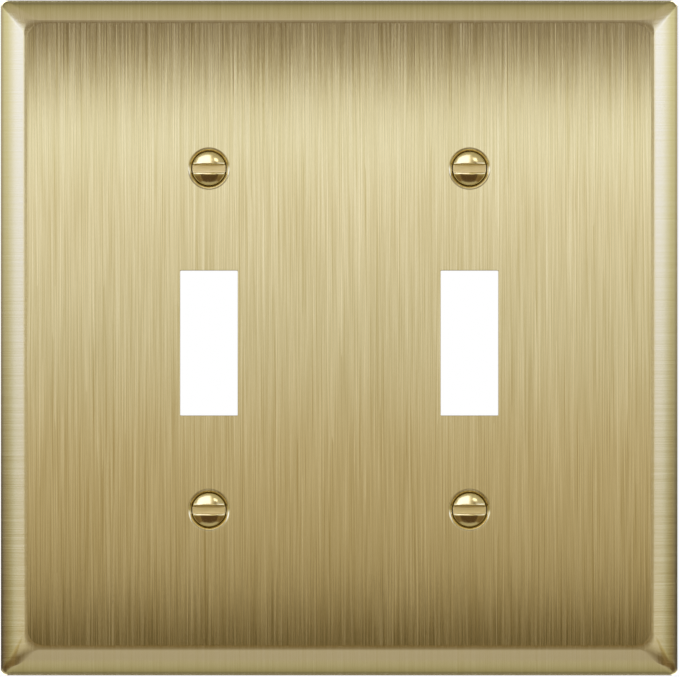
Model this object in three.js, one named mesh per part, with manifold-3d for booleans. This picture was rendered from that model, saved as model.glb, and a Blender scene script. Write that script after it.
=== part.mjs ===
// A two-gang wall plate for toggle switches: one drawn sheet-metal plate with a bevelled rim and two
// toggle openings, four slotted oval-head screws, and a fibre washer on each screw that keeps it captive.
//
// Millimetres, +Z up. The plate stands upright and faces -Y. The origin is the centre of its rear rim,
// which lies on the wall, so the wall is the plane y = 0 and the screws reach behind it.

import * as THREE from "three";
import { mergeVertices } from "three/addons/utils/BufferGeometryUtils.js";
import Module from "manifold-3d";

const wasm = await Module();
wasm.setup();

// ---- Driving dimensions ----

const PLATE_WIDTH = 119.7;
const PLATE_HEIGHT = 119.4;
const PLATE_DEPTH = 6.0;
const SHEET = 1.0;

const BEVEL_WIDTH = 4.25; // from the outside of the rim to the edge of the flat face
const BEVEL_SLOPE = THREE.MathUtils.degToRad(25); // the angle at which the bevel meets the face
const SKIRT_HEIGHT = 1.2; // the upright part of the rim that stands on the wall
const FACE_RISE = 0.65; // the face sits this much above the middle of the rim
const RIM_CORNER = 1.15; // corner radius of the rim, seen from the front
const FACE_CORNER = 2.8; // corner radius of the flat face

const GANG_SPACING = 46.04; // centre to centre of two switches in one box
const SCREW_SPACING = 60.33; // upper to lower screw of one switch
const SCREW_CENTRE = -0.23; // the middle of the four screws, against the middle of the rim
const OPENING_WIDTH = 10.15;
const OPENING_HEIGHT = 25.6;
const OPENING_CENTRE = -0.9;

const SINK_ANGLE = THREE.MathUtils.degToRad(41); // half of the 82 degree countersink
const SINK_RADIUS = 3.55; // where the countersink meets the face
const HOLE_RADIUS = 2.0;
const DIMPLE_DEPTH = 2.3; // from the face to the back of the pressed dimple

const SEAT_GAP = 0.12; // between the screw's cone and the countersink
const HEAD_RADIUS = 2.95;
const HEAD_LAND = 0.2; // the narrow band between the cone and the dome
const DOME_HEIGHT = 1.1;
const SLOT_WIDTH = 1.3;
const SLOT_DEPTH = 1.25;

const THREAD_PITCH = 25.4 / 32;
const THREAD_RADIUS = 3.505 / 2;
const THREAD_DEPTH = 0.61 * THREAD_PITCH;
const SCREW_LENGTH = 12.7; // from the widest part of the head to the tip
const TIP_CHAMFER = 0.5;

const WASHER_FRONT = -2.0;
const WASHER_THICKNESS = 0.8;
const WASHER_RADIUS = 4.75;
const WASHER_HOLE = 1.9;
const WASHER_SLIT = [0.4, 3.1]; // width, and how far it reaches from the centre

const FACE_Y = -PLATE_DEPTH;
const CORNER_STEPS = 3; // each quarter circle of the plate has twice as many sides
const BEVEL_STEPS = 6;
const HOLE_SIDES = 32;
const HEAD_SIDES = 24;
const DOME_STEPS = 5;
const THREAD_SIDES = 12;
const STEPS_PER_TURN = 4;
const PAST = 2; // how far a cutter reaches past what it cuts

// ---- Solids ----

// A closed geometry as a manifold-3d solid.
function solid(geometry) {
  const bare = geometry.clone();
  bare.deleteAttribute("normal");
  bare.deleteAttribute("uv");
  const merged = mergeVertices(bare, 1e-4);
  const vertProperties = merged.attributes.position.array;
  const triVerts = new Uint32Array(merged.index.array);
  return new wasm.Manifold(new wasm.Mesh({ numProp: 3, vertProperties, triVerts }));
}

function geometryOf(manifold) {
  const mesh = manifold.getMesh();
  const geometry = new THREE.BufferGeometry();
  geometry.setAttribute("position", new THREE.BufferAttribute(mesh.vertProperties, mesh.numProp));
  geometry.setIndex(new THREE.BufferAttribute(mesh.triVerts, 1));
  geometry.computeVertexNormals();
  return geometry;
}

// A solid of revolution about the Y axis, from a profile of [radius, y] given from the front to the back.
function turned(profile, sides) {
  return new THREE.LatheGeometry(
    profile.map(([radius, y]) => new THREE.Vector2(radius, y)),
    sides,
  );
}

function box([width, depth, height], [x, y, z]) {
  return new THREE.BoxGeometry(width, depth, height).translate(x, y, z);
}

// Joins rings of points, each with as many points as the next, into one closed skin with flat ends.
function loft(rings) {
  const count = rings[0].length;
  const positions = rings.flat().flatMap((point) => point.toArray());
  const flat = rings[0].map((point) => new THREE.Vector2(point.x, point.z));
  const end = THREE.ShapeUtils.triangulateShape(flat, []);
  const last = (rings.length - 1) * count;
  const index = [];
  for (const [a, b, c] of end) {
    index.push(a, c, b, last + a, last + b, last + c);
  }
  for (let ring = 0; ring + 1 < rings.length; ring += 1) {
    for (let i = 0; i < count; i += 1) {
      const here = ring * count + i;
      const next = ring * count + ((i + 1) % count);
      index.push(here, next, next + count, here, next + count, here + count);
    }
  }
  const geometry = new THREE.BufferGeometry();
  geometry.setAttribute("position", new THREE.Float32BufferAttribute(positions, 3));
  geometry.setIndex(index);
  return geometry;
}

// ---- The plate ----

// The rounded rectangle at a given inset from the rim. Its corners widen and its centre rises on the way
// from the rim to the face.
function plateRing(inset, y) {
  const share = inset / BEVEL_WIDTH;
  const radius = THREE.MathUtils.lerp(RIM_CORNER, FACE_CORNER, share);
  const rise = FACE_RISE * share;
  const x = PLATE_WIDTH / 2 - inset - radius;
  const z = PLATE_HEIGHT / 2 - inset - radius;
  const quarter = Math.PI / 2;
  const path = new THREE.Path();
  path.absarc(x, rise + z, radius, 0, quarter);
  path.absarc(-x, rise + z, radius, quarter, 2 * quarter);
  path.absarc(-x, rise - z, radius, 2 * quarter, 3 * quarter);
  path.absarc(x, rise - z, radius, 3 * quarter, 4 * quarter);
  return path.getPoints(CORNER_STEPS).map((point) => new THREE.Vector3(point.x, y, point.y));
}

// The skin of the plate, or of the hollow behind it: upright at the rim, then one curve to the face.
function plateSkin({ rearY, rimInset, faceInset, faceY }) {
  const curve = new THREE.QuadraticBezierCurve(
    new THREE.Vector2(rimInset, -SKIRT_HEIGHT),
    new THREE.Vector2(rimInset, faceY + (faceInset - rimInset) * Math.tan(BEVEL_SLOPE)),
    new THREE.Vector2(faceInset, faceY),
  );
  const bevel = curve.getPoints(BEVEL_STEPS).map((point) => plateRing(point.x, point.y));
  return loft([plateRing(rimInset, rearY), ...bevel]);
}

function screwPlaces() {
  const x = GANG_SPACING / 2;
  const upper = SCREW_CENTRE + SCREW_SPACING / 2;
  const lower = SCREW_CENTRE - SCREW_SPACING / 2;
  return [
    { name: "upper_left", x: -x, z: upper },
    { name: "upper_right", x, z: upper },
    { name: "lower_left", x: -x, z: lower },
    { name: "lower_right", x, z: lower },
  ];
}

// The metal that is pressed back round a screw hole.
function dimple() {
  const spread = SHEET / Math.cos(SINK_ANGLE);
  const back = FACE_Y + DIMPLE_DEPTH;
  const front = FACE_Y + SHEET / 2;
  const radiusAt = (y) => SINK_RADIUS + spread - (y - FACE_Y) * Math.tan(SINK_ANGLE);
  const profile = [
    [0, front],
    [radiusAt(front), front],
    [radiusAt(back), back],
    [0, back],
  ];
  return turned(profile, HOLE_SIDES);
}

function countersink() {
  const slope = Math.tan(SINK_ANGLE);
  const throat = FACE_Y + (SINK_RADIUS - HOLE_RADIUS) / slope;
  const behind = FACE_Y + DIMPLE_DEPTH + PAST;
  const profile = [
    [0, FACE_Y - PAST],
    [SINK_RADIUS + PAST * slope, FACE_Y - PAST],
    [HOLE_RADIUS, throat],
    [HOLE_RADIUS, behind],
    [0, behind],
  ];
  return turned(profile, HOLE_SIDES);
}

function wallPlate() {
  const outside = plateSkin({ rearY: 0, rimInset: 0, faceInset: BEVEL_WIDTH, faceY: FACE_Y });
  const hollow = plateSkin({
    rearY: PAST,
    rimInset: SHEET,
    faceInset: BEVEL_WIDTH + SHEET * Math.tan(BEVEL_SLOPE / 2),
    faceY: FACE_Y + SHEET,
  });
  let plate = solid(outside).subtract(solid(hollow));
  for (const { x, z } of screwPlaces()) {
    plate = plate.add(solid(dimple().translate(x, 0, z)));
    plate = plate.subtract(solid(countersink().translate(x, 0, z)));
  }
  const size = [OPENING_WIDTH, SHEET + 2 * PAST, OPENING_HEIGHT];
  for (const side of [-1, 1]) {
    const centre = [(side * GANG_SPACING) / 2, FACE_Y + SHEET / 2, OPENING_CENTRE];
    plate = plate.subtract(solid(box(size, centre)));
  }
  return geometryOf(plate);
}

// ---- The screws ----

const HEAD_CONE_Y = FACE_Y + (SINK_RADIUS - SEAT_GAP / Math.cos(SINK_ANGLE) - HEAD_RADIUS) / Math.tan(SINK_ANGLE);
const HEAD_RIM_Y = HEAD_CONE_Y - HEAD_LAND;
const NECK_Y = HEAD_CONE_Y + (HEAD_RADIUS - THREAD_RADIUS) / Math.tan(SINK_ANGLE);
const TIP_Y = HEAD_CONE_Y + SCREW_LENGTH;

// The oval head: a cone that seats in the countersink, a narrow land and a shallow dome.
function screwHead() {
  const domeRadius = (HEAD_RADIUS ** 2 + DOME_HEIGHT ** 2) / (2 * DOME_HEIGHT);
  const dome = [];
  for (let i = 0; i <= DOME_STEPS; i += 1) {
    const radius = HEAD_RADIUS * (i / DOME_STEPS);
    const sag = domeRadius - Math.sqrt(domeRadius ** 2 - radius ** 2);
    dome.push([radius, HEAD_RIM_Y - DOME_HEIGHT + sag]);
  }
  const profile = [
    ...dome,
    [HEAD_RADIUS, HEAD_CONE_Y],
    [THREAD_RADIUS, NECK_Y],
    [THREAD_RADIUS - THREAD_DEPTH, NECK_Y + THREAD_PITCH],
    [0, NECK_Y + THREAD_PITCH],
  ];
  return turned(profile, HEAD_SIDES);
}

// A right-hand thread: a cylinder whose radius rises and falls once in each pitch and turns with it.
function screwShank() {
  const start = NECK_Y;
  const steps = Math.round(((TIP_Y - start) / THREAD_PITCH) * STEPS_PER_TURN);
  const profile = [[0, start]];
  for (let i = 0; i <= steps; i += 1) {
    profile.push([1, THREE.MathUtils.lerp(start, TIP_Y, i / steps)]);
  }
  profile.push([0, TIP_Y]);
  const geometry = turned(profile, THREAD_SIDES);
  const places = geometry.attributes.position;
  const point = new THREE.Vector3();
  for (let i = 0; i < places.count; i += 1) {
    point.fromBufferAttribute(places, i);
    const across = Math.hypot(point.x, point.z);
    if (across < 0.5) continue; // the two ends on the axis
    const turns = Math.atan2(point.x, point.z) / (2 * Math.PI);
    const phase = THREE.MathUtils.euclideanModulo((point.y - start) / THREAD_PITCH - turns, 1);
    const groove = THREAD_DEPTH * Math.abs(2 * phase - 1);
    const chamfer = THREAD_RADIUS - TIP_CHAMFER + (TIP_Y - point.y);
    const radius = Math.min(THREAD_RADIUS - groove, chamfer);
    places.setXYZ(i, (point.x / across) * radius, point.y, (point.z / across) * radius);
  }
  return geometry;
}

function screw() {
  const top = HEAD_RIM_Y - DOME_HEIGHT;
  const slot = box([4 * HEAD_RADIUS, SLOT_DEPTH + PAST, SLOT_WIDTH], [0, top + (SLOT_DEPTH - PAST) / 2, 0]);
  return geometryOf(solid(screwHead()).add(solid(screwShank())).subtract(solid(slot)));
}

// ---- The washers that keep the screws captive ----

function retainingWasher() {
  const back = WASHER_FRONT + WASHER_THICKNESS;
  const disc = [
    [0, WASHER_FRONT],
    [WASHER_RADIUS, WASHER_FRONT],
    [WASHER_RADIUS, back],
    [0, back],
  ];
  const hole = [
    [0, WASHER_FRONT - PAST],
    [WASHER_HOLE, WASHER_FRONT - PAST],
    [WASHER_HOLE, back + PAST],
    [0, back + PAST],
  ];
  let washer = solid(turned(disc, HOLE_SIDES)).subtract(solid(turned(hole, HOLE_SIDES)));
  const [width, reach] = WASHER_SLIT;
  const depth = WASHER_THICKNESS + 2 * PAST;
  const centre = [0, WASHER_FRONT + WASHER_THICKNESS / 2, 0];
  washer = washer.subtract(solid(box([2 * reach, depth, width], centre)));
  washer = washer.subtract(solid(box([width, depth, 2 * reach], centre)));
  return geometryOf(washer);
}

// ---- The assembly ----

const brushedBrass = new THREE.MeshStandardMaterial({ color: 0xcbbb8a, roughness: 0.35, metalness: 1 });
const polishedBrass = new THREE.MeshStandardMaterial({ color: 0xd9c27a, roughness: 0.18, metalness: 1 });
const redFibre = new THREE.MeshStandardMaterial({ color: 0x7c3b2c, roughness: 0.85, metalness: 0 });

function piece(name, geometry, material, { x = 0, z = 0 } = {}) {
  const mesh = new THREE.Mesh(geometry, material);
  mesh.name = name;
  mesh.position.set(x, 0, z);
  return mesh;
}

const togglePlate = new THREE.Group();
togglePlate.add(piece("wall_plate", wallPlate(), brushedBrass));
for (const place of screwPlaces()) {
  togglePlate.add(piece(`${place.name}_screw`, screw(), polishedBrass, place));
  togglePlate.add(piece(`${place.name}_retaining_washer`, retainingWasher(), redFibre, place));
}

export default togglePlate;
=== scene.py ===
"""A two-gang toggle wall plate of brushed brass, its four slotted screws and their fibre washers.

Metres, +Z up. The plate faces -Y and its rear rim lies in the plane y = 0.
"""

import math

import bmesh
import bpy
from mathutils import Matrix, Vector


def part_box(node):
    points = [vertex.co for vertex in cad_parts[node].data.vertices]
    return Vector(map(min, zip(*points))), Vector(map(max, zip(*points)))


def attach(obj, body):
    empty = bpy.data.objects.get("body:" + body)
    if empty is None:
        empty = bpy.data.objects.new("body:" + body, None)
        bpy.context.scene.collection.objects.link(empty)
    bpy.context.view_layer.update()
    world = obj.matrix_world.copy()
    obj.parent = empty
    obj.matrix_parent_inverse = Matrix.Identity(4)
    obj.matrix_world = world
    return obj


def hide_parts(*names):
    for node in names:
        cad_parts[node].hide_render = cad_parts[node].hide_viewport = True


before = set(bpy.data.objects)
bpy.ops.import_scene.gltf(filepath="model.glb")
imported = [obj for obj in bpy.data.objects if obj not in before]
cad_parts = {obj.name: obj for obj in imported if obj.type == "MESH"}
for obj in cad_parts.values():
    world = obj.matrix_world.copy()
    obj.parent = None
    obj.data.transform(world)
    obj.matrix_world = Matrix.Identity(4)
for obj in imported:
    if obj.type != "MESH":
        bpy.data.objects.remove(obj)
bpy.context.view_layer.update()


# ---- Wall plate ----
# One piece of 1 mm brass sheet, drawn into a shallow pan with a bevelled rim. The screw holes are pressed
# back into countersunk dimples and the toggle openings are punched. The face is belt-brushed upwards, the
# bevels are brushed from the rim inwards, both are lacquered, and the back is left as rolled.

MM = 0.001
SHEET = 1.0 * MM
BEVEL = 4.25 * MM  # from the rim to where the bevel meets the flat face
BEVEL_SLOPE = math.radians(25)
CREASE = 0.5 * MM  # half the width of the rounded crease between bevel and face
SKIRT = 1.2 * MM  # the upright part of the rim
FACE_RISE = 0.65 * MM  # the face sits a little above the middle of the rim
RIM_CORNER = 1.15 * MM
FACE_CORNER = 2.8 * MM
GANG_SPACING = 46.04 * MM
SCREW_SPACING = 60.33 * MM
OPENING = Vector((10.15 * MM, 25.6 * MM))
OPENING_CORNER = 0.15 * MM
OPENING_CENTRE = -0.9 * MM
SCREW_CENTRE = -0.23 * MM
EDGE_BREAK = 0.1 * MM  # how far sharp edges are rounded off
PUNCH_ROUND = 0.12 * MM  # the punch rolls the front edge of each opening over this far
SINK_ANGLE = math.radians(41)
SINK_RADIUS = 3.55 * MM
HOLE_RADIUS = 2.0 * MM
DIMPLE_DEPTH = 2.3 * MM

plate_low, plate_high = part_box("wall_plate")
FACE_Y = plate_low.y
BACK_Y = FACE_Y + SHEET


def srgb(code):
    """An sRGB hex colour as linear RGBA."""
    channels = [int(code[i : i + 2], 16) / 255 for i in (1, 3, 5)]
    linear = [c / 12.92 if c <= 0.04045 else ((c + 0.055) / 1.055) ** 2.4 for c in channels]
    return (*linear, 1.0)


def node(tree, kind, inputs=None, **settings):
    """Adds a node. Inputs are values or the sockets to link from."""
    made = tree.nodes.new(kind)
    for name, value in settings.items():
        setattr(made, name, value)
    for name, value in (inputs or {}).items():
        if isinstance(value, bpy.types.NodeSocket):
            tree.links.new(value, made.inputs[name])
        else:
            made.inputs[name].default_value = value
    return made


def material(name):
    """An empty node material and its tree."""
    made = bpy.data.materials.new(name)
    made.use_nodes = True
    made.node_tree.nodes.clear()
    return made, made.node_tree


def output(tree, shader):
    node(tree, "ShaderNodeOutputMaterial", {"Surface": shader.outputs[0]})


def blend(tree, share, first, second):
    """A mix of two colours, each a hex code or a socket."""
    sides = [srgb(side) if isinstance(side, str) else side for side in (first, second)]
    mixed = node(tree, "ShaderNodeMix", {"Factor": share, 6: sides[0], 7: sides[1]}, data_type="RGBA")
    return mixed.outputs[2]


def grain(tree, size, detail):
    """Even noise over the whole piece, whose largest patches are this wide."""
    where = node(tree, "ShaderNodeTexCoord").outputs["Object"]
    settings = {"Vector": where, "Scale": 1 / size, "Detail": detail, "Roughness": 0.6}
    return node(tree, "ShaderNodeTexNoise", settings).outputs["Fac"]


def spread(tree, value, low, high, start=0.3, stop=0.7):
    """Maps a noise value, which mostly lies from start to stop, onto low to high."""
    settings = {"Value": value, "From Min": start, "From Max": stop, "To Min": low, "To Max": high}
    return node(tree, "ShaderNodeMapRange", settings).outputs[0]


def relief(tree, height, strength, depth):
    """The surface normal over this height, as a bump of the given depth in metres."""
    settings = {"Height": height, "Strength": strength, "Distance": depth}
    return node(tree, "ShaderNodeBump", settings).outputs[0]


def bezier(start, control, end, steps):
    """Points of a quadratic curve, both ends included."""
    points = []
    for i in range(steps + 1):
        t = i / steps
        points.append(start * (1 - t) ** 2 + control * 2 * t * (1 - t) + end * t**2)
    return points


def rounded_rectangle(half_x, half_z, radius, y, centre=(0, 0), steps=10):
    """Points round a rectangle in the XZ plane, the same number for every size."""
    points = []
    for quarter, (side_x, side_z) in enumerate(((1, 1), (-1, 1), (-1, -1), (1, -1))):
        for step in range(steps + 1):
            angle = (quarter + step / steps) * math.pi / 2
            x = side_x * (half_x - radius) + radius * math.cos(angle)
            z = side_z * (half_z - radius) + radius * math.sin(angle)
            points.append(Vector((centre[0] + x, y, centre[1] + z)))
    return points


def circle(radius, y, centre, sides=64):
    angles = [2 * math.pi * i / sides for i in range(sides)]
    return [Vector((centre[0] + radius * math.cos(a), y, centre[1] + radius * math.sin(a))) for a in angles]


def plate_ring(inset, y):
    """The plate's outline at a given inset from the rim: its corners widen on the way to the face."""
    share = min(1, max(0, inset / BEVEL))
    radius = RIM_CORNER + (FACE_CORNER - RIM_CORNER) * share
    half_x = plate_high.x - inset
    half_z = plate_high.z - inset
    return rounded_rectangle(half_x, half_z, radius, y, (0, FACE_RISE * share))


def bevel_profile(rim_inset, face_inset, face_y):
    """(inset, y) from the skirt to the face: one steady curve, then a small rounded crease."""
    slope = math.tan(BEVEL_SLOPE)
    crease_start = Vector((face_inset - CREASE, face_y + CREASE * slope))
    crease_end = Vector((face_inset + CREASE, face_y))
    control = Vector((rim_inset, face_y + (face_inset - rim_inset) * slope))
    curve = bezier(Vector((rim_inset, -SKIRT)), control, crease_start, 16)
    return curve + bezier(crease_start, Vector((face_inset, face_y)), crease_end, 5)[1:]


def bridge(mesh, rings, index):
    """Joins rings of equal length into a skin, and returns the rings' vertices."""
    made = [[mesh.verts.new(point) for point in ring] for ring in rings]
    for ring, after in zip(made, made[1:]):
        for i in range(len(ring)):
            j = (i + 1) % len(ring)
            mesh.faces.new((ring[i], ring[j], after[j], after[i])).material_index = index
    return made


def fill(mesh, loops, index):
    """Fills the flat region between loops of vertices."""
    edges = []
    for loop in loops:
        for i, vertex in enumerate(loop):
            pair = (vertex, loop[(i + 1) % len(loop)])
            edges.append(mesh.edges.get(pair) or mesh.edges.new(pair))
    for face in bmesh.ops.triangle_fill(mesh, edges=edges, use_beauty=True)["geom"]:
        if isinstance(face, bmesh.types.BMFace):
            face.material_index = index


def join_loops(mesh, ring, after, index):
    for i in range(len(ring)):
        j = (i + 1) % len(ring)
        mesh.faces.new((ring[i], ring[j], after[j], after[i])).material_index = index


def finish_mesh(name, mesh, materials, sharp=35):
    """A smooth-shaded object from a bmesh: flat areas keep their true normals."""
    bmesh.ops.recalc_face_normals(mesh, faces=mesh.faces)
    data = bpy.data.meshes.new(name)
    mesh.to_mesh(data)
    mesh.free()
    data.shade_smooth()
    data.set_sharp_from_angle(angle=math.radians(sharp))
    for made in materials:
        data.materials.append(made)
    thing = bpy.data.objects.new(name, data)
    bpy.context.scene.collection.objects.link(thing)
    weighted = thing.modifiers.new("even_normals", "WEIGHTED_NORMAL")
    weighted.keep_sharp = True
    return thing


FRONT, BEVELLED, BACK = 0, 1, 2
plate = bmesh.new()
outside = [(EDGE_BREAK, 0), (0, -EDGE_BREAK)] + [tuple(p) for p in bevel_profile(0, BEVEL, FACE_Y)]
back_inset = BEVEL + SHEET * math.tan(BEVEL_SLOPE / 2)
inside = [(SHEET - EDGE_BREAK, 0), (SHEET, -EDGE_BREAK)]
inside += [tuple(p) for p in bevel_profile(SHEET, back_inset, BACK_Y)]
outer_rings = bridge(plate, [plate_ring(*point) for point in outside], BEVELLED)
inner_rings = bridge(plate, [plate_ring(*point) for point in inside], BACK)
join_loops(plate, outer_rings[0], inner_rings[0], BACK)
front_loops = [outer_rings[-1]]
back_loops = [inner_rings[-1]]

for side in (-1, 1):
    centre = (side * GANG_SPACING / 2, OPENING_CENTRE)
    rings = []
    for step in range(4):
        angle = step / 3 * math.pi / 2
        grow = PUNCH_ROUND * (1 - math.sin(angle))
        y = FACE_Y + PUNCH_ROUND * (1 - math.cos(angle))
        rings.append((grow, y))
    rings.append((0, BACK_Y))
    loops = [
        rounded_rectangle(OPENING.x / 2 + grow, OPENING.y / 2 + grow, OPENING_CORNER + grow, y, centre, 3)
        for grow, y in rings
    ]
    made = bridge(plate, loops, FRONT)
    front_loops.append(made[0])
    back_loops.append(made[-1])

sink_slope = math.tan(SINK_ANGLE)
sink_throat = FACE_Y + (SINK_RADIUS - HOLE_RADIUS) / sink_slope
dimple_back = FACE_Y + DIMPLE_DEPTH
boss_radius = SINK_RADIUS + SHEET / math.cos(SINK_ANGLE)
SINK_ROUND = 0.22 * MM  # the face rolls into the countersink over this far
BOSS_ROUND = 0.5 * MM  # where the boss leaves the back of the sheet
BOSS_EDGE = 0.15 * MM  # round its end


def boss(y):
    return boss_radius - (y - FACE_Y) * sink_slope


for x in (-GANG_SPACING / 2, GANG_SPACING / 2):
    for z in (SCREW_CENTRE - SCREW_SPACING / 2, SCREW_CENTRE + SCREW_SPACING / 2):
        rolled = bezier(
            Vector((SINK_RADIUS + SINK_ROUND, FACE_Y)),
            Vector((SINK_RADIUS, FACE_Y)),
            Vector((SINK_RADIUS - SINK_ROUND * sink_slope, FACE_Y + SINK_ROUND)),
            6,
        )
        front = [tuple(p) for p in rolled]
        front += [(HOLE_RADIUS, sink_throat), (HOLE_RADIUS, dimple_back - EDGE_BREAK)]
        front += [(HOLE_RADIUS + EDGE_BREAK, dimple_back)]
        rounded = bezier(
            Vector((boss(BACK_Y + BOSS_ROUND), BACK_Y + BOSS_ROUND)),
            Vector((boss(BACK_Y), BACK_Y)),
            Vector((boss(BACK_Y) + BOSS_ROUND, BACK_Y)),
            5,
        )
        edge = bezier(
            Vector((boss(dimple_back) - BOSS_EDGE, dimple_back)),
            Vector((boss(dimple_back), dimple_back)),
            Vector((boss(dimple_back - BOSS_EDGE), dimple_back - BOSS_EDGE)),
            3,
        )
        behind = [tuple(p) for p in edge] + [tuple(p) for p in rounded]
        made = bridge(plate, [circle(r, y, (x, z)) for r, y in front], FRONT)
        back = bridge(plate, [circle(r, y, (x, z)) for r, y in behind], BACK)
        join_loops(plate, made[-1], back[0], BACK)
        front_loops.append(made[0])
        back_loops.append(back[-1])

fill(plate, front_loops, FRONT)
fill(plate, back_loops, BACK)


def lay_brush_map(mesh, rings):
    """A UV map in metres: U runs across the brush lines and V along them. The face is brushed upwards,
    and the bevels from the rim inwards, so their lines fan round the corners."""
    layer = mesh.loops.layers.uv.new("brush")
    inwards = [0.0]
    for ring, after in zip(rings, rings[1:]):
        inwards.append(inwards[-1] + (after[0].co - ring[0].co).length)
    place = {vertex: (i, k) for k, ring in enumerate(rings) for i, vertex in enumerate(ring)}
    per_corner = len(rings[0]) // 4
    ways = (Vector((0, 0, 1)), Vector((-1, 0, 0)), Vector((0, 0, -1)), Vector((1, 0, 0)))

    def along_side(side, i, k):
        """How far along this side a ring's vertex lies: straight, then round half of each corner."""
        corner, step = divmod(i, per_corner)
        ends = corner == side
        share = step / (per_corner - 1)
        first = rings[k][corner * per_corner].co
        final = rings[k][(corner + 1) * per_corner - 1].co
        quarter_turn = (final - first).length / math.sqrt(2) * math.pi / 2
        base = (first if ends else final).dot(ways[side])
        return base + quarter_turn * (share if ends else share - 1)

    for face in mesh.faces:
        if face.material_index != BEVELLED:
            for loop in face.loops:
                loop[layer].uv = (loop.vert.co.x, loop.vert.co.z)
            continue
        columns = {place[vertex][0] for vertex in face.verts}
        first = max(columns) if 0 in columns and len(rings[0]) - 1 in columns else min(columns)
        corner, step = divmod(first, per_corner)
        side = corner if step < (per_corner - 1) / 2 else (corner + 1) % 4
        for loop in face.loops:
            i, k = place[loop.vert]
            loop[layer].uv = (along_side(side, i, k), inwards[k])


def brush_coordinates(tree, across, along):
    """The brush map stretched so that one unit of noise is the given width and length in metres. The
    slant staggers the lines, so that they don't start and end in rows."""
    slant = 0.37
    uv = node(tree, "ShaderNodeUVMap", uv_map="brush").outputs["UV"]
    parts = {}
    for axis, weights in (("X", (1 / across, 0, 0)), ("Y", (slant / across, 1 / along, 0))):
        made = node(tree, "ShaderNodeVectorMath", {0: uv, 1: weights}, operation="DOT_PRODUCT")
        parts[axis] = made.outputs["Value"]
    return node(tree, "ShaderNodeCombineXYZ", parts).outputs[0]


def line_noise(tree, width, length, detail):
    """Noise drawn out into brush lines. It runs from about 0.25 to 0.75."""
    where = brush_coordinates(tree, width, length)
    settings = {"Vector": where, "Scale": 1.0, "Detail": detail, "Roughness": 0.6}
    return node(tree, "ShaderNodeTexNoise", settings, noise_dimensions="2D").outputs["Fac"]


def painted_rim_shade(tree, colour):
    """The colour, darkened over the upright part of the rim and the outer edge of the bevel: painted shade
    for the darker reflection there.
    """
    uv = node(tree, "ShaderNodeUVMap", uv_map="brush").outputs["UV"]
    inwards = node(tree, "ShaderNodeSeparateXYZ", {"Vector": uv}).outputs["Y"]
    share = spread(tree, inwards, 0.7, 1.0, SKIRT, 2 * SKIRT)
    return node(tree, "ShaderNodeVectorMath", {0: colour, "Scale": share}, operation="SCALE").outputs[0]


def tilted(tree, normal, tangent, lean):
    """The normal, tipped to and fro along the brush lines by up to this slope, each line by its own."""
    slopes = {"Value": line_noise(tree, 0.12 * MM, 14 * MM, 1.0), "To Min": -lean, "To Max": lean}
    slope = node(tree, "ShaderNodeMapRange", slopes, clamp=False)
    along = node(tree, "ShaderNodeVectorMath", {0: normal, 1: tangent}, operation="CROSS_PRODUCT")
    tipped = {0: along.outputs[0], 1: slope.outputs[0], 2: normal}
    leaned = node(tree, "ShaderNodeVectorMath", tipped, operation="MULTIPLY_ADD")
    return node(tree, "ShaderNodeVectorMath", {0: leaned.outputs[0]}, operation="NORMALIZE").outputs[0]


def brushed_brass(name, dark, light, lean, rim=False):
    """Belt-brushed, lacquered brass: fine lines about 0.15 mm apart and 20 mm long, which spread every
    reflection sideways and leave it sharp up and down, so the face shades from top to bottom. Each line
    was cut at its own slight slope, and mirrors a little higher or lower than its neighbours."""
    made, tree = material(name)
    fine = line_noise(tree, 0.14 * MM, 22 * MM, 2.0)
    broad = line_noise(tree, 1.1 * MM, 45 * MM, 1.0)
    lines = node(tree, "ShaderNodeMix", {"Factor": 0.2, "A": fine, "B": broad}, data_type="FLOAT")
    # a few stronger marks: each cell of the pattern has a random depth, and the power keeps the extremes
    where = brush_coordinates(tree, 0.2 * MM, 24 * MM)
    cells = node(tree, "ShaderNodeTexVoronoi", {"Vector": where, "Scale": 1.0}, voronoi_dimensions="2D")
    random = node(tree, "ShaderNodeSeparateColor", {"Color": cells.outputs["Color"]}).outputs["Red"]
    centred = node(tree, "ShaderNodeMath", {0: random, 1: 2.0, 2: -1.0}, operation="MULTIPLY_ADD")
    marks = node(tree, "ShaderNodeMath", {0: centred.outputs[0], 1: 5.0}, operation="POWER")
    both = {0: marks.outputs[0], 1: 0.16, 2: lines.outputs[0]}
    height = node(tree, "ShaderNodeMath", both, operation="MULTIPLY_ADD").outputs[0]

    tone = spread(tree, height, 0.0, 1.0, 0.25, 0.75)
    colour = blend(tree, tone, dark, light)
    tangent = node(tree, "ShaderNodeTangent", direction_type="UV_MAP", uv_map="brush").outputs[0]
    scratched = relief(tree, tone, 1.0, 0.002 * MM)
    surface = {
        # with rim set, the colour darkens towards the rim: painted shade
        "Base Color": painted_rim_shade(tree, colour) if rim else colour,
        "Metallic": 1.0,
        "Roughness": spread(tree, tone, 0.14, 0.22, 0.0, 1.0),
        "Anisotropic": 0.9,
        "Normal": tilted(tree, scratched, tangent, lean),
        "Tangent": tangent,
    }
    output(tree, node(tree, "ShaderNodeBsdfPrincipled", surface))
    return made


def rolled_brass():
    """The back as it left the rolling mill: duller, browner and cloudy, with faint rolling lines."""
    made, tree = material("brass_rolled_unfinished")
    cloud = grain(tree, 11.11 * MM, 5.0)
    drawn_out = {"Vector": brush_coordinates(tree, 0.5 * MM, 50 * MM), "Scale": 1.0, "Detail": 2.0}
    lines = node(tree, "ShaderNodeTexNoise", drawn_out, noise_dimensions="2D")
    surface = {
        "Base Color": blend(tree, cloud, "#b89a60", "#e2cd92"),
        "Metallic": 1.0,
        "Roughness": spread(tree, cloud, 0.42, 0.55),
        "Normal": relief(tree, lines.outputs["Fac"], 0.6, 0.01 * MM),
    }
    output(tree, node(tree, "ShaderNodeBsdfPrincipled", surface))
    return made


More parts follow.
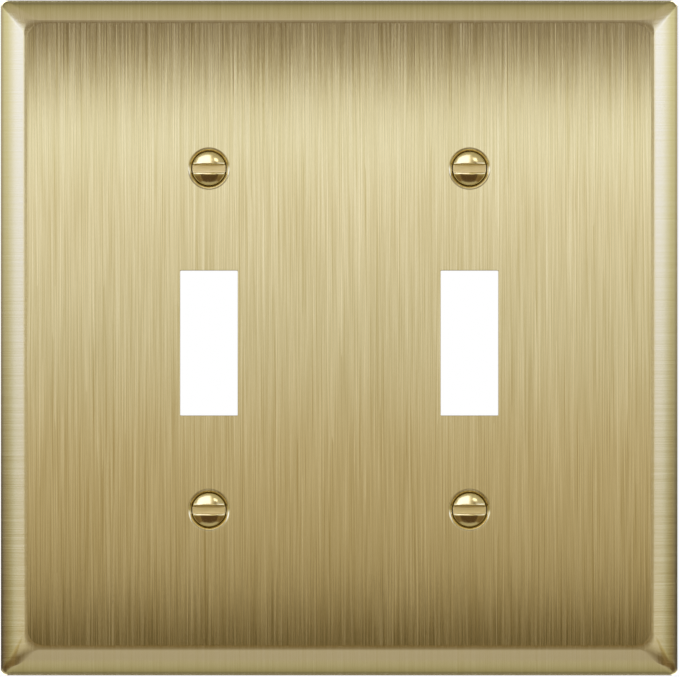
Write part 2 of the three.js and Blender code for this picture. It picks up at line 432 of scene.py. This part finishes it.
lay_brush_map(plate, outer_rings)
plate_finishes = [
    brushed_brass("brass_brushed_lacquered", "#d5c894", "#fff8d2", 0.011),
    # the bevel's colour carries painted shade towards the rim
    brushed_brass("brass_brushed_bevel", "#e8ddad", "#f5ecc4", 0.004, rim=True),
    rolled_brass(),
]
wall_plate = finish_mesh("brushed_wall_plate", plate, plate_finishes)
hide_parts("wall_plate")
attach(wall_plate, "plate")


# ---- Screws ----
# Four 6-32 oval-head machine screws of solid brass: turned heads, polished bright, with a milled slot
# whose edges the polishing has softened, over a rolled thread 12.7 mm long.

HEAD_RADIUS = 2.95 * MM
HEAD_LAND = 0.2 * MM
DOME_HEIGHT = 1.1 * MM
SLOT_HALF = 0.65 * MM
SLOT_DEPTH = 1.25 * MM
SLOT_ROUND = 0.3 * MM
THREAD_PITCH = 25.4 * MM / 32
THREAD_RADIUS = 3.505 * MM / 2
THREAD_DEPTH = 0.61 * THREAD_PITCH
THREAD_SIDES = 48
NECK_OVERLAP = 0.3 * MM  # how far the thread's skin reaches into the cone
TIP_CHAMFER = 0.5 * MM
ROWS = 26  # of points from the head's edge to its slot
COLUMNS = 48  # of points along the slot
FLOOR_SHARE = 0.92  # this far down, the slot's wall rounds into its floor, which the polishing missed
POLISHED, MILLED, THREADED = 0, 1, 2


def roll_thread(mesh, centre, neck, tip):
    """A helical skin from just inside the neck to the tip, with one pitch of thread in each turn."""
    # as shares of the pitch and the depth: a flat crest, a flank, a narrow root and a flank
    profile = [(0.0, 0.0), (0.13, 0.0), (0.2, 0.1), (0.45, 0.94), (0.52, 1.0)]
    profile += [(0.6, 1.0), (0.67, 0.94), (0.92, 0.1)]
    turns = math.ceil((tip - neck) / THREAD_PITCH) + 2
    columns = []
    for i in range(THREAD_SIDES):
        angle = 2 * math.pi * i / THREAD_SIDES
        column = []
        for turn in range(-2, turns):
            for phase, depth in profile:
                y = neck + (turn + phase + i / THREAD_SIDES) * THREAD_PITCH
                y = min(max(y, neck - NECK_OVERLAP), tip)
                run_out = min(1, max(0, (y - neck) / THREAD_PITCH + 0.2))
                radius = THREAD_RADIUS - THREAD_DEPTH * depth * run_out
                radius = min(radius, THREAD_RADIUS - TIP_CHAMFER + (tip - y))
                place = (centre[0] + radius * math.sin(angle), y, centre[1] + radius * math.cos(angle))
                column.append(mesh.verts.new(place))
        columns.append(column)
    for i, column in enumerate(columns):
        after = columns[(i + 1) % THREAD_SIDES]
        shift = len(profile) if i + 1 == THREAD_SIDES else 0  # round once, the helix is one pitch further
        for j in range(len(column) - 1):
            k = j + shift
            if k + 1 < len(after):
                mesh.faces.new((column[j], column[j + 1], after[k + 1], after[k])).material_index = THREADED
    end = mesh.verts.new((centre[0], tip, centre[1]))
    last = [column[-1] for column in columns]
    for i in range(THREAD_SIDES):
        mesh.faces.new((last[i], last[(i + 1) % THREAD_SIDES], end)).material_index = THREADED


def screw_mesh(low, high):
    """The head as rows of points across the slot, then the cone, then a helical thread."""
    centre_x = (low.x + high.x) / 2
    centre_z = (low.z + high.z) / 2
    ball = (HEAD_RADIUS**2 + DOME_HEIGHT**2) / (2 * DOME_HEIGHT)
    top = low.y - ball + math.sqrt(ball**2 - SLOT_HALF**2)  # the dome's apex, cut away by the slot
    rim = top + DOME_HEIGHT
    cone = rim + HEAD_LAND
    neck = cone + (HEAD_RADIUS - THREAD_RADIUS) / sink_slope
    tip = high.y
    floor = top + SLOT_DEPTH

    def dome(x, z):
        return top + ball - math.sqrt(max(0, ball**2 - x * x - z * z))

    def row(z, sunk, edge):
        """One row: at height z, this share of the way from the dome at the slot's edge to its floor."""
        half = math.sqrt(max(0, HEAD_RADIUS**2 - z * z))
        points = []
        for i in range(COLUMNS + 1):
            x = half * math.sin(math.pi * (i / COLUMNS - 0.5))
            surface = dome(x, edge if sunk else z)
            points.append(Vector((centre_x + x, surface + sunk * (floor - surface), centre_z + z)))
        return points

    half_rows = []
    lip = SLOT_HALF + SLOT_ROUND
    first = math.asin(lip / HEAD_RADIUS)
    for i in range(ROWS):
        angle = math.pi / 2 + (first - math.pi / 2) * i / ROWS
        half_rows.append((HEAD_RADIUS * math.sin(angle), 0.0))
    round_share = SLOT_ROUND / SLOT_DEPTH
    for i in range(6):
        angle = math.pi / 2 * i / 5
        half_rows.append((lip - SLOT_ROUND * math.sin(angle), round_share * (1 - math.cos(angle))))
    half_rows += [(SLOT_HALF, 0.6), (SLOT_HALF, FLOOR_SHARE)]
    half_rows += [(SLOT_HALF - 0.03 * MM, 0.98), (SLOT_HALF - 0.1 * MM, 1.0), (SLOT_HALF / 2, 1.0)]
    rows = [row(z, sunk, lip) for z, sunk in half_rows]
    rows += [row(-z, sunk, lip) for z, sunk in reversed(half_rows)]

    mesh = bmesh.new()
    grid = [[mesh.verts.new(point) for point in points] for points in rows]
    depths = [sunk for _, sunk in half_rows]
    depths += reversed(depths)
    for points, after, depth in zip(grid, grid[1:], depths):
        for i in range(COLUMNS):
            face = mesh.faces.new((points[i], points[i + 1], after[i + 1], after[i]))
            face.material_index = MILLED if depth >= FLOOR_SHARE else POLISHED
    outline = [points[-1] for points in grid] + [points[0] for points in reversed(grid)]
    previous = outline
    # the head's side, the cone, and a last ring that turns in as far as the thread's root
    for radius, y in ((HEAD_RADIUS, cone), (THREAD_RADIUS, neck), (THREAD_RADIUS * 0.7, neck)):
        ring = []
        for vertex in outline:
            away = Vector((vertex.co.x - centre_x, vertex.co.z - centre_z)).normalized() * radius
            ring.append(mesh.verts.new((centre_x + away.x, y, centre_z + away.y)))
        join_loops(mesh, previous, ring, THREADED)
        previous = ring
    bmesh.ops.remove_doubles(mesh, verts=mesh.verts, dist=0.002 * MM)

    roll_thread(mesh, (centre_x, centre_z), neck, tip)
    bmesh.ops.dissolve_degenerate(mesh, dist=0.0005 * MM, edges=mesh.edges)
    return mesh


def polished_brass():
    """Tumbled and buffed solid brass under clear lacquer: mirror-bright, with faint hairline swirls."""
    made, tree = material("brass_polished_bright")
    swirl = grain(tree, 0.3846 * MM, 3.0)
    surface = {
        "Base Color": blend(tree, swirl, "#ecdca0", "#f4e8b6"),
        "Metallic": 1.0,
        "Roughness": spread(tree, swirl, 0.13, 0.21),
        "Normal": relief(tree, swirl, 0.5, 0.004 * MM),
    }
    output(tree, node(tree, "ShaderNodeBsdfPrincipled", surface))
    return made


def milled_brass():
    """The slot as the slitting saw left it: bright but rough, with fine marks along it."""
    made, tree = material("brass_milled_slot")
    where = node(tree, "ShaderNodeTexCoord").outputs["Object"]
    marks = (1 / (1.11 * MM), 1 / (0.0714 * MM), 1 / (0.0714 * MM))
    stretched = node(tree, "ShaderNodeVectorMath", {0: where, 1: marks}, operation="MULTIPLY").outputs[0]
    noise = node(tree, "ShaderNodeTexNoise", {"Vector": stretched, "Scale": 1.0, "Detail": 2.0})
    saw = noise.outputs["Fac"]
    surface = {
        "Base Color": blend(tree, saw, "#dcc98c", "#f3e6b4"),
        "Metallic": 1.0,
        "Roughness": 0.42,
        "Normal": relief(tree, saw, 0.6, 0.01 * MM),
    }
    output(tree, node(tree, "ShaderNodeBsdfPrincipled", surface))
    return made


def threaded_brass():
    """Rolled thread and turned cone: plain brass, duller than the head, with faint darker stains."""
    made, tree = material("brass_rolled_thread")
    stain = grain(tree, 1.4286 * MM, 4.0)
    surface = {
        "Base Color": blend(tree, stain, "#bfa264", "#e6d295"),
        "Metallic": 1.0,
        "Roughness": spread(tree, stain, 0.25, 0.4),
    }
    output(tree, node(tree, "ShaderNodeBsdfPrincipled", surface))
    return made


screw_finishes = [polished_brass(), milled_brass(), threaded_brass()]
screws = []
for corner in ("upper_left", "upper_right", "lower_left", "lower_right"):
    name = f"{corner}_screw"
    screw = finish_mesh(f"{corner}_slotted_screw", screw_mesh(*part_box(name)), screw_finishes)
    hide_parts(name)
    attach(screw, name)
    screws.append(screw)


# ---- Retaining washers ----
# Thin discs punched from red vulcanised fibre and pushed onto the thread behind the plate. Four slits
# round the hole let each one spring over the thread, and the punching rounds its outer edges a little.

WASHER_HOLE = 1.9 * MM
SLIT_HALF = 0.2 * MM
SLIT_REACH = 3.1 * MM


def washer_mesh(low, high):
    centre = ((low.x + high.x) / 2, (low.z + high.z) / 2)
    radius = (high.x - low.x) / 2
    hole = []
    start = math.asin(SLIT_HALF / WASHER_HOLE)
    for quarter in range(4):
        turn = quarter * math.pi / 2
        along = Vector((math.cos(turn), math.sin(turn)))
        aside = Vector((-along.y, along.x))
        for angle in (-90, -45, 0, 45, 90):
            bend = math.radians(angle)
            reach = SLIT_REACH - SLIT_HALF + SLIT_HALF * math.cos(bend)
            hole.append(along * reach + aside * SLIT_HALF * math.sin(bend))
        for step in range(9):
            angle = turn + start + (math.pi / 2 - 2 * start) * step / 8
            hole.append(Vector((math.cos(angle), math.sin(angle))) * WASHER_HOLE)
    mesh = bmesh.new()
    round_off = 0.08 * MM
    depths = ((0, round_off), (round_off, 0), (high.y - low.y - round_off, 0), (high.y - low.y, round_off))
    rim = bridge(mesh, [circle(radius - inset, low.y + depth, centre) for depth, inset in depths], 0)
    rings = []
    for depth in (0, high.y - low.y):
        rings.append([Vector((centre[0] + p.x, low.y + depth, centre[1] + p.y)) for p in hole])
    bore = bridge(mesh, rings, 0)
    fill(mesh, [rim[0], bore[0]], 0)
    fill(mesh, [rim[-1], bore[-1]], 0)
    return mesh


def red_fibre():
    """Vulcanised fibre: dull brick red, mottled, with short fibres lying every way in the surface."""
    made, tree = material("fibre_vulcanised_punched")
    where = node(tree, "ShaderNodeTexCoord").outputs["Object"]
    cloudy = {"Vector": where, "Scale": 1 / (1.111 * MM), "Detail": 6.0, "Roughness": 0.7}
    mottle = node(tree, "ShaderNodeTexNoise", cloudy).outputs["Fac"]
    crossed = {"Vector": where, "Scale": 1 / (0.2 * MM), "Randomness": 1.0}
    fibres = node(tree, "ShaderNodeTexVoronoi", crossed, feature="DISTANCE_TO_EDGE").outputs["Distance"]
    surface = {
        "Base Color": blend(tree, mottle, "#5f2a20", "#9a4c3a"),
        "Roughness": 0.78,
        "IOR": 1.5,
        "Normal": relief(tree, fibres, 0.7, 0.03 * MM),
    }
    output(tree, node(tree, "ShaderNodeBsdfPrincipled", surface))
    return made


fibre = red_fibre()
for corner in ("upper_left", "upper_right", "lower_left", "lower_right"):
    name = f"{corner}_retaining_washer"
    washer = finish_mesh(f"{corner}_fibre_washer", washer_mesh(*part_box(name)), [fibre])
    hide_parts(name)
    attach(washer, name)


# ---- Studio ----
# A plain pale floor below the plate and an even white background. Upright softboxes, which the camera sees
# only in reflections, stand in front of the plate, round both its sides and behind it. The one in front is
# dark level with the plate's foot and top and brightest in the upper half between them, and that is the
# shading of the brushed face.

CARD_DISTANCE = 0.3


def ramp(tree, value, stops):
    """A colour ramp over a value, from (place, colour) stops."""
    made = node(tree, "ShaderNodeValToRGB", {"Fac": value})
    elements = made.color_ramp.elements
    elements.remove(elements[1])
    while len(elements) < len(stops):
        elements.new(1.0)
    for element, (place, code) in zip(elements, stops):
        element.position = place
        element.color = srgb(code)
    return made.outputs["Color"]


def emission(name, strength, shade=None):
    """A softbox's material. shade makes its colour from the place along it and up it, each 0 to 1."""
    made, tree = material(name)
    shader = node(tree, "ShaderNodeEmission", {"Color": (1, 1, 1, 1), "Strength": strength})
    if shade:
        where = node(tree, "ShaderNodeUVMap", uv_map="card")
        place = node(tree, "ShaderNodeSeparateXYZ", {"Vector": where.outputs["UV"]})
        tree.links.new(shade(tree, place.outputs["X"], place.outputs["Y"]), shader.inputs["Color"])
    output(tree, shader)
    return made


def card(name, line, z_low, z_high, finish, only=None):
    """An upright softbox over a line of (x, y) points. It shows in reflections, but not to the camera."""
    points = [(x, y, z) for z in (z_low, z_high) for x, y in line]
    count = len(line)
    data = bpy.data.meshes.new(name)
    data.from_pydata(points, [], [(i, i + 1, count + i + 1, count + i) for i in range(count - 1)])
    layer = data.uv_layers.new(name="card")
    for loop in data.loops:
        layer.data[loop.index].uv = (loop.vertex_index % count / (count - 1), loop.vertex_index // count)
    data.materials.append(finish)
    thing = bpy.data.objects.new(name, data)
    bpy.context.scene.collection.objects.link(thing)
    thing.visible_camera = False
    thing.visible_shadow = False
    if only:
        thing.light_linking.receiver_collection = only


def flat(x_low, x_high, y=-CARD_DISTANCE):
    return [(x_low, y), (x_high, y)]


def up_a_card(shades, low, high):
    """Shade for emission: these colours by height in mm, whatever the place along the card."""
    stops = [((z * MM - low) / (high - low), code) for z, code in shades]
    return lambda tree, along, up: ramp(tree, up, stops)


# in front of the plate
FRONT_LOW, FRONT_HIGH = -0.07, 0.26
FRONT_HALF = 0.21
FRONT_STRENGTH = 1.35
front_shades = [
    (-70, "#6a5735"),
    (-63, "#4c4020"),
    (-58, "#362c12"),
    (-54, "#645434"),
    (-50, "#908064"),
    (-42, "#9e9076"),
    (-20, "#ac9e86"),
    (0, "#bcb6aa"),
    (30, "#d0cac2"),
    (38, "#dee0e0"),
    (45, "#dedad6"),
    (49, "#bcb4a2"),
    (53, "#908264"),
    (57, "#6e5e42"),
    (60, "#62523e"),
    (150, "#82786a"),
    (260, "#90867e"),
]
front_finish = emission("softbox_front", FRONT_STRENGTH, up_a_card(front_shades, FRONT_LOW, FRONT_HIGH))
card("front_softbox", flat(-FRONT_HALF, FRONT_HALF), FRONT_LOW, FRONT_HIGH, front_finish)

# below the front one, for the plate alone: the lower bevel and the lower corners mirror it
LOWER_LOW = -0.6
LOWER_HALF = 0.3
lower_middle_shades = [
    (-600, "#a59d93"),
    (-300, "#a59d93"),
    (-230, "#857a68"),
    (-160, "#6f6148"),
    (-70, "#6a5735"),
]
lower_side_shades = [(-600, "#5a4a30"), (-250, "#5a4a30"), (-170, "#b8b0a2"), (-70, "#b8b0a2")]
sideways = [(0.15, "#ffffff"), (0.35, "#000000"), (0.65, "#000000"), (0.85, "#ffffff")]


def lower_shade(tree, along, up):
    """Shade for emission: one row of colours up its middle, and another up its two sides."""
    middle = up_a_card(lower_middle_shades, LOWER_LOW, FRONT_LOW)(tree, along, up)
    sides = up_a_card(lower_side_shades, LOWER_LOW, FRONT_LOW)(tree, along, up)
    return blend(tree, ramp(tree, along, sideways), middle, sides)


plates = bpy.data.collections.new("wall_plate")
plates.objects.link(wall_plate)
lower_finish = emission("softbox_lower", FRONT_STRENGTH, lower_shade)
card("lower_softbox", flat(-LOWER_HALF, LOWER_HALF), LOWER_LOW, FRONT_LOW, lower_finish, plates)

# for the screws alone, whose heads mirror them: flat lights a little nearer than the front softbox. Those
# that overlap stand at different distances, since lights in one plane hide each other
heads = bpy.data.collections.new("screw_heads")
for screw in screws:
    heads.objects.link(screw)


def head_light(name, across, up, nearer, radiance, colour):
    """A rectangular light from across[0] to across[1] in x and from up[0] to up[1] in z."""
    data = bpy.data.lights.new(name, "AREA")
    data.shape = "RECTANGLE"
    data.size = across[1] - across[0]
    data.size_y = up[1] - up[0]
    data.energy = radiance * math.pi * data.size * data.size_y
    data.color = srgb(colour)[:3]
    thing = bpy.data.objects.new(name, data)
    thing.location = (sum(across) / 2, nearer - CARD_DISTANCE, sum(up) / 2)
    thing.rotation_euler = (math.pi / 2, 0, 0)
    thing.light_linking.receiver_collection = heads
    thing.visible_camera = False
    bpy.context.scene.collection.objects.link(thing)


head_light("key_halo", (-0.65, 0.12), (0.05, 0.7), 0.01, 0.2, "#fff0cc")
head_light("key_light", (-0.6, 0.06), (0.08, 0.65), 0.014, 0.4, "#ffffff")
head_light("key_core", (-0.55, 0.02), (0.1, 0.6), 0.018, 1.1, "#b4c0ff")
head_light("slot_light", (-0.15, 0.15), (-0.085, 0.0), 0.01, 0.5, "#fff2cc")
head_light("low_light", (-0.3, 0.3), (-0.6, -0.09), 0.01, 0.09, "#ffc98c")
head_light("spot_light", (0.14, 0.27), (0.25, 0.38), 0.022, 1.9, "#ffffff")

# round each side: one softbox curves from beside the front one to well behind the plate
SIDE_RADIUS = 0.45
SIDE_CENTRE = 0.05
SIDE_STRENGTH = 2.0
SIDE_LOW, SIDE_HIGH = -0.65, 0.17
SIDE_STEPS = 24
side_rise = [(-45, "#000000"), (40, "#ffffff"), (170, "#ffffff")]
side_foot = [(-230, "#000000"), (-130, "#ffffff")]
side_shades = [  # degrees round from straight in front, then the colours at its foot, below its middle, above
    (27, "#a39a84", "#7d7259", "#b9bbc2"),
    (34, "#7a6c50", "#7f7459", "#c8c9d8"),
    (46, "#5a4a30", "#8c8260", "#c9d0f8"),
    (56, "#54442c", "#8c8260", "#c9d0f8"),
    (64, "#54442c", "#847e64", "#c7ccea"),
    (76, "#4a3b26", "#6f6745", "#bcbec8"),
    (92, "#40311f", "#5f5133", "#aeaea1"),
    (115, "#4a4034", "#4d4134", "#a5a395"),
    (135, "#8a8474", "#352f28", "#858072"),
    (160, "#a09a8c", "#352f28", "#8a8474"),
]
side_from, side_to = side_shades[0][0], side_shades[-1][0]


def side_shade(tree, along, up):
    """Shade for emission: three rows of colours along the card, at its foot, below its middle and above."""
    rows = []
    for row in (1, 2, 3):
        stops = [((shade[0] - side_from) / (side_to - side_from), shade[row]) for shade in side_shades]
        rows.append(ramp(tree, along, stops))
    rise = up_a_card(side_rise, SIDE_LOW, SIDE_HIGH)(tree, along, up)
    foot = up_a_card(side_foot, SIDE_LOW, SIDE_HIGH)(tree, along, up)
    return blend(tree, foot, rows[0], blend(tree, rise, rows[1], rows[2]))


side_finish = emission("softbox_side", SIDE_STRENGTH, side_shade)
for side in (-1, 1):
    line = []
    for step in range(SIDE_STEPS + 1):
        angle = math.radians(side_from + (side_to - side_from) * step / SIDE_STEPS)
        line.append((side * (SIDE_CENTRE + SIDE_RADIUS * math.sin(angle)), -SIDE_RADIUS * math.cos(angle)))
    card(f"side_softbox_{side}", line, SIDE_LOW, SIDE_HIGH, side_finish)

# behind the plate: four square ones, out beyond its corners, which light its back and the threads
REAR_DISTANCE = 0.4
REAR_OFFSET = 0.24
REAR_HALF = 0.14
rear_finish = emission("softbox_rear", 2.2)
for across in (-REAR_OFFSET, REAR_OFFSET):
    for up in (-REAR_OFFSET, REAR_OFFSET):
        line = flat(across - REAR_HALF, across + REAR_HALF, REAR_DISTANCE)
        card(f"rear_softbox_{across}_{up}", line, up - REAR_HALF, up + REAR_HALF, rear_finish)

FLOOR_RADIUS = 0.3
FLOOR_DROP = 0.04  # below the plate, which stands clear of it as it hangs on a wall
floor_data = bpy.data.meshes.new("floor")
floor_rim = [(point.x, point.z, 0) for point in circle(FLOOR_RADIUS, 0, (0, 0), 96)]
floor_data.from_pydata(floor_rim, [], [range(96)])
floor = bpy.data.objects.new("floor", floor_data)
floor.location.z = plate_low.z - FLOOR_DROP
bpy.context.scene.collection.objects.link(floor)
floor_finish, floor_tree = material("floor_matt_white")
floor_surface = {
    "Base Color": srgb("#f2f1ee"),
    "Roughness": 0.9,
    "Emission Color": srgb("#f6f5f2"),
    "Emission Strength": 0.42,
}
output(floor_tree, node(floor_tree, "ShaderNodeBsdfPrincipled", floor_surface))
floor_data.materials.append(floor_finish)
floor.visible_glossy = False

# the room: white to the camera, and to everything else shaded from front (0) to back (1)
room_shades = [
    (0.0, "#bdb4a8"),
    (0.18, "#bdb4a8"),
    (0.37, "#b4ad97"),
    (0.63, "#9e977a"),
    (0.75, "#7c7664"),
    (0.9, "#938c78"),
    (1.0, "#7c7664"),
]
world = bpy.data.worlds.new("studio")
bpy.context.scene.world = world
world.use_nodes = True
sky = world.node_tree
sky.nodes.clear()
direction = node(sky, "ShaderNodeTexCoord").outputs["Generated"]
depth = node(sky, "ShaderNodeSeparateXYZ", {"Vector": direction}).outputs["Y"]
room_colour = ramp(sky, spread(sky, depth, 0.0, 1.0, -1.0, 1.0), room_shades)
lit = node(sky, "ShaderNodeBackground", {"Color": room_colour, "Strength": 1.0}).outputs[0]
seen = node(sky, "ShaderNodeBackground", {"Color": srgb("#ffffff"), "Strength": 1.0}).outputs[0]
to_camera = node(sky, "ShaderNodeLightPath").outputs["Is Camera Ray"]
both = node(sky, "ShaderNodeMixShader", {0: to_camera, 1: lit, 2: seen})
node(sky, "ShaderNodeOutputWorld", {"Surface": both.outputs[0]})

CAMERA_DISTANCE = 4.0
VIEW_WIDTH = 120.15 * MM  # across the plane of the rear rim, which the plate almost fills
SHIFT_X, SHIFT_Z = 0.05 * MM, -0.1 * MM
camera_data = bpy.data.cameras.new("camera")
camera_data.sensor_width = 36
camera_data.lens = CAMERA_DISTANCE * camera_data.sensor_width / VIEW_WIDTH
camera = bpy.data.objects.new("camera", camera_data)
camera.location = (SHIFT_X, -CAMERA_DISTANCE, SHIFT_Z)
camera.rotation_euler = (math.pi / 2, 0, 0)
bpy.context.scene.collection.objects.link(camera)
bpy.context.scene.camera = camera
bpy.context.scene.view_settings.view_transform = "Standard"
